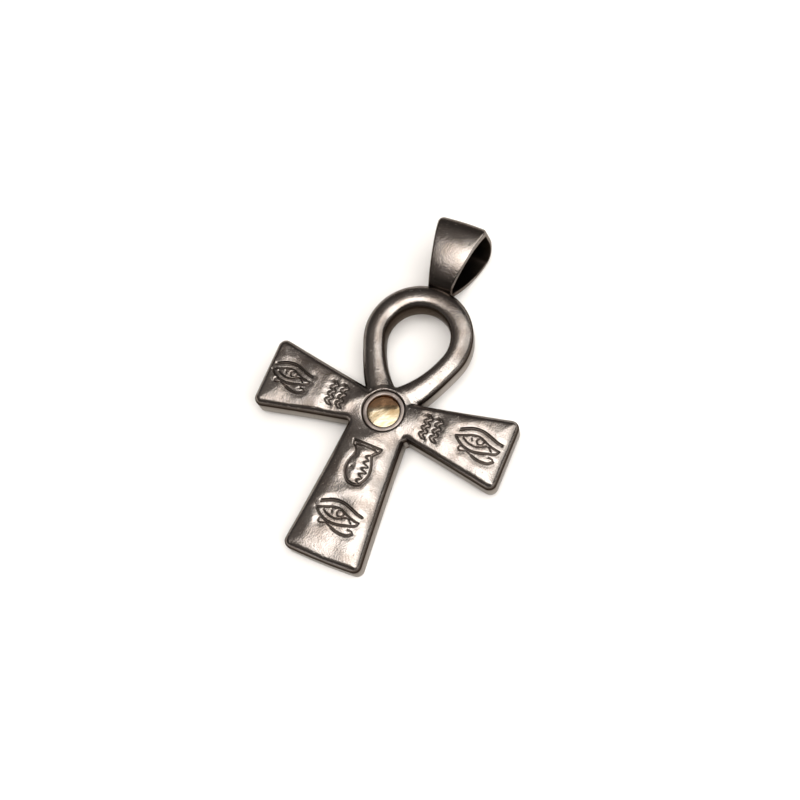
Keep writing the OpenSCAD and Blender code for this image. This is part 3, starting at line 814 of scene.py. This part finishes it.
def steelFinish(look):
    steel = Finish("castSteel", {"Metallic": 1.0, "Specular Tint": look["tint"]})
    # marks for the grooves, for painted shade and for a painted reflection of the floor
    mark = steel.node("ShaderNodeAttribute", dict(attribute_name="engraved"), {}, "Fac")
    smudge, grain = steel.cloud(*look["smudgeNoise"]), steel.cloud(*look["grainNoise"])
    pits = steel.spread(steel.cloud(*look["pitNoise"]), *look["pitRange"])
    paintedGlints = steel.spread(steel.cloud(*look["glintNoise"]), *look["glintRange"])
    face = steel.blend(steel.spread(smudge, *look["wornRange"]), look["bright"], look["worn"])
    face = steel.blend(pits * look["pitShare"], face, look["pit"])
    # painted glints: lighter specks scattered over the face
    face = steel.blend(paintedGlints * look["glintShare"], face, look["paintedGlint"])
    # by the body's marks: a paler painted reflection of the floor, the groove colour, and the darkest painted
    # shade
    for name in ("wall", "groove", "rim"):
        face = steel.blend(steel.spread(mark, *look[name + "Range"]), face, look[name])
    dull = steel.spread(mark, *look["dullRange"])
    height = (grain * look["grainRise"] + steel.cloud(*look["dentNoise"]) * look["dentRise"]
              - pits * look["pitDrop"])
    steel.wear({"Base Color": face, "Normal": steel.bump(height, look["bump"], look["bumpDepth"]),
                "Roughness": (look["roughness"] + smudge * look["smudgeRough"] + grain * look["grainRough"]
                              + dull * look["dullRough"])})
    return steel.material


bezelLook = dict(bright=(0.235, 0.206, 0.19), worn=(0.17, 0.143, 0.129), tint=(0.62, 0.6, 0.58),
                 smudgeNoise=(1.5, 4), grainNoise=(0.18, 4, 0.6), dentSize=0.7, wornRange=(0.35, 0.65),
                 roughness=0.24, smudgeRough=0.12, bump=0.4, bumpDepth=0.02)


def bezelFinish(look):
    steel = Finish("bezelSteel", {"Metallic": 1.0, "Specular Tint": look["tint"]})
    smudge, grain = steel.cloud(*look["smudgeNoise"]), steel.cloud(*look["grainNoise"])
    worn = steel.spread(smudge, *look["wornRange"])
    steel.wear({"Base Color": steel.blend(worn, look["bright"], look["worn"]),
                "Roughness": look["roughness"] + smudge * look["smudgeRough"],
                "Normal": steel.bump(grain + steel.cloud(look["dentSize"]), look["bump"], look["bumpDepth"])})
    return steel.material


# streaks run across the gilt, and past the bend it is painted browner, a painted reflection of the dark room
discLook = dict(tones=[(0.3, (0.20, 0.135, 0.07)), (0.5, (0.26, 0.207, 0.13)), (0.68, (0.40, 0.35, 0.27))],
                paintedBrownReflection=(0.42, 0.25, 0.14), paintedBrownRange=(0.7, 1.2), fray=1.6, grainNoise=(0.25, 4),
                streakTurn=0.85, streakSize=(3.3, 1.1, 1.7), streakDetail=5.0, streakRoughness=0.55,
                streakTwist=0.8,
                roughness=0.14, streakRough=0.14, streakRise=1.5, grainRise=0.3, bump=0.5, bumpDepth=0.04)


def discFinish(look):
    gilt = Finish("giltDisc", {"Metallic": 1.0})
    place = gilt.node("ShaderNodeMapping", dict(vector_type="TEXTURE"),
                      {"Vector": gilt.place, "Rotation": (0, 0, look["streakTurn"]),
                       "Scale": [size * metre for size in look["streakSize"]]})
    streak = gilt.node("ShaderNodeTexNoise", {},
                       {"Vector": place, "Scale": 1.0, "Detail": look["streakDetail"],
                        "Roughness": look["streakRoughness"], "Distortion": look["streakTwist"]}, "Fac")
    side = math.radians(disc["bendTurn"])
    upper = gilt.dot(gilt.place, (math.cos(side) / metre, math.sin(side) / metre, 0))
    low, high = (edge + disc["bendAt"] - disc["middleShift"] for edge in look["paintedBrownRange"])
    tone = gilt.node("ShaderNodeValToRGB", dict(stops=look["tones"]), {0: streak})
    height = streak * look["streakRise"] + gilt.cloud(*look["grainNoise"]) * look["grainRise"]
    # painted reflection: browner past the bend, its edge frayed by the streaks
    paintedBrownReflection = gilt.spread(upper + streak * look["fray"], low, high)
    gilt.wear({"Base Color": gilt.blend(paintedBrownReflection, tone, look["paintedBrownReflection"]),
               "Roughness": look["roughness"] + streak * look["streakRough"],
               "Normal": gilt.bump(height, look["bump"], look["bumpDepth"])})
    return gilt.material


def dress(piece, material, slotName, *nodes):
    piece.data.materials.append(material)
    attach(piece, "root")
    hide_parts(*nodes)


# the body's marks hold its grooves, painted shade at its rims, upper walls, hole, recess and bail, and a
# painted reflection of the floor on its lower walls
body = addPiece("pendantBody", [makeBody(bodyMesh), makeBail(bail), makeBailFoot(bailFoot)], "engraved")
dress(body, steelFinish(steelLook), "steel", "ankh_body")
print("body", len(body.data.vertices), "points")
bezelRing = addPiece("bezelRing", [makeBezel(bezel)])
dress(bezelRing, bezelFinish(bezelLook), "bezel_steel", "bezel_ring")
giltDisc = addPiece("giltDisc", [makeDisc(disc)])
dress(giltDisc, discFinish(discLook), "gold", "gold_disc")
print("bezel and disc set")


# floor and light, in metres
table = dict(width=2.4, steps=24, tone=(0.96, 0.955, 0.945), roughness=0.7)
boxHeight = 0.5
# boxes that hang level: middle and size as shares of their height above the table, turn in degrees
overhead = [
    dict(name="keyBox", at=(0.62, -0.30), size=(1.86, 0.56), turn=-9, glow=5.0, tint=(1.0, 0.965, 0.93)),
    dict(name="edgeBox", at=(0.24, 0.60), size=(1.45, 0.34), turn=57, glow=2.6, tint=(1.0, 0.965, 0.92)),
    dict(name="fillBox", at=(1.05, 0.65), size=(2.4, 1.3), turn=57, glow=1.6, tint=(1.0, 0.975, 0.94)),
]
# cards that stand round the table and face it: bearing and height in degrees, distance and size in metres
standing = [
    dict(name="sideCard", bearing=-8, height=11, away=0.9, size=(0.5, 0.26), glow=0.9,
         tint=(1.0, 0.95, 0.9)),
    dict(name="stripCard", bearing=43, height=20, away=0.9, size=(0.09, 0.3), glow=2.4,
         tint=(1.0, 0.97, 0.94)),
]
# the dim room that the metal mirrors: glow of its walls, of its ceiling, and of a pale band above the table
room = dict(wall=0.09, ceiling=0.27, skirting=0.25, skirtingHeight=0.42, towards=(-0.15, -0.08, 0.985),
            ceilingRange=(0.55, 0.97), tint=(1.0, 0.91, 0.84))


def makeFloor():
    n, half = table["steps"], table["width"] / 2
    side = np.linspace(-half, half, n)
    verts = [(x, y, 0.0) for y in side for x in side]
    corners = [j * n + i for j in range(n - 1) for i in range(n - 1)]
    mesh = bpy.data.meshes.new("table")
    mesh.from_pydata(verts, [], [(k, k + 1, k + n + 1, k + n) for k in corners])
    floor = bpy.data.objects.new("table", mesh)
    bpy.context.scene.collection.objects.link(floor)
    card = Finish("whiteCard", {"Roughness": table["roughness"], "Base Color": table["tone"]})
    mesh.materials.append(card.material)


def addBox(box, size, place, aim):
    data = bpy.data.lights.new(box["name"], "AREA")
    data.shape, (data.size, data.size_y) = "RECTANGLE", size
    data.energy = box["glow"] * math.pi * size[0] * size[1]
    data.color = box["tint"]
    light = bpy.data.objects.new(box["name"], data)
    light.matrix_world = Matrix.LocRotScale(Vector(place), aim, None)
    bpy.context.scene.collection.objects.link(light)


def makeLights():
    for box in overhead:
        place = (box["at"][0] * boxHeight, box["at"][1] * boxHeight, boxHeight)
        addBox(box, [side * boxHeight for side in box["size"]], place,
               Matrix.Rotation(math.radians(box["turn"]), 3, "Z").to_quaternion())
    for box in standing:
        bearing, height = math.radians(box["bearing"]), math.radians(box["height"])
        level = math.cos(height)
        way = Vector((level * math.cos(bearing), level * math.sin(bearing), math.sin(height)))
        addBox(box, box["size"], way * box["away"], way.to_track_quat("Z", "Y"))
    world = bpy.data.worlds.new("studioRoom")
    world.use_nodes = True
    world.node_tree.nodes.clear()
    air = Nodes(world.node_tree)
    way = air.node("ShaderNodeTexCoord", {}, {}, "Generated")
    wall = room["wall"]
    glow = (air.spread(air.dot(way, room["towards"]), *room["ceilingRange"], wall, wall + room["ceiling"])
            + air.spread(air.dot(way, (0, 0, 1)), 0, room["skirtingHeight"], room["skirting"], 0))
    shell = air.node("ShaderNodeBackground", {}, {"Color": room["tint"], "Strength": glow})
    out = world.node_tree.nodes.new("ShaderNodeOutputWorld")
    world.node_tree.links.new(shell.socket, out.inputs["Surface"])
    bpy.context.scene.world = world


makeFloor()
makeLights()
bpy.context.scene.view_settings.view_transform = "Standard"
print("floor and light set")
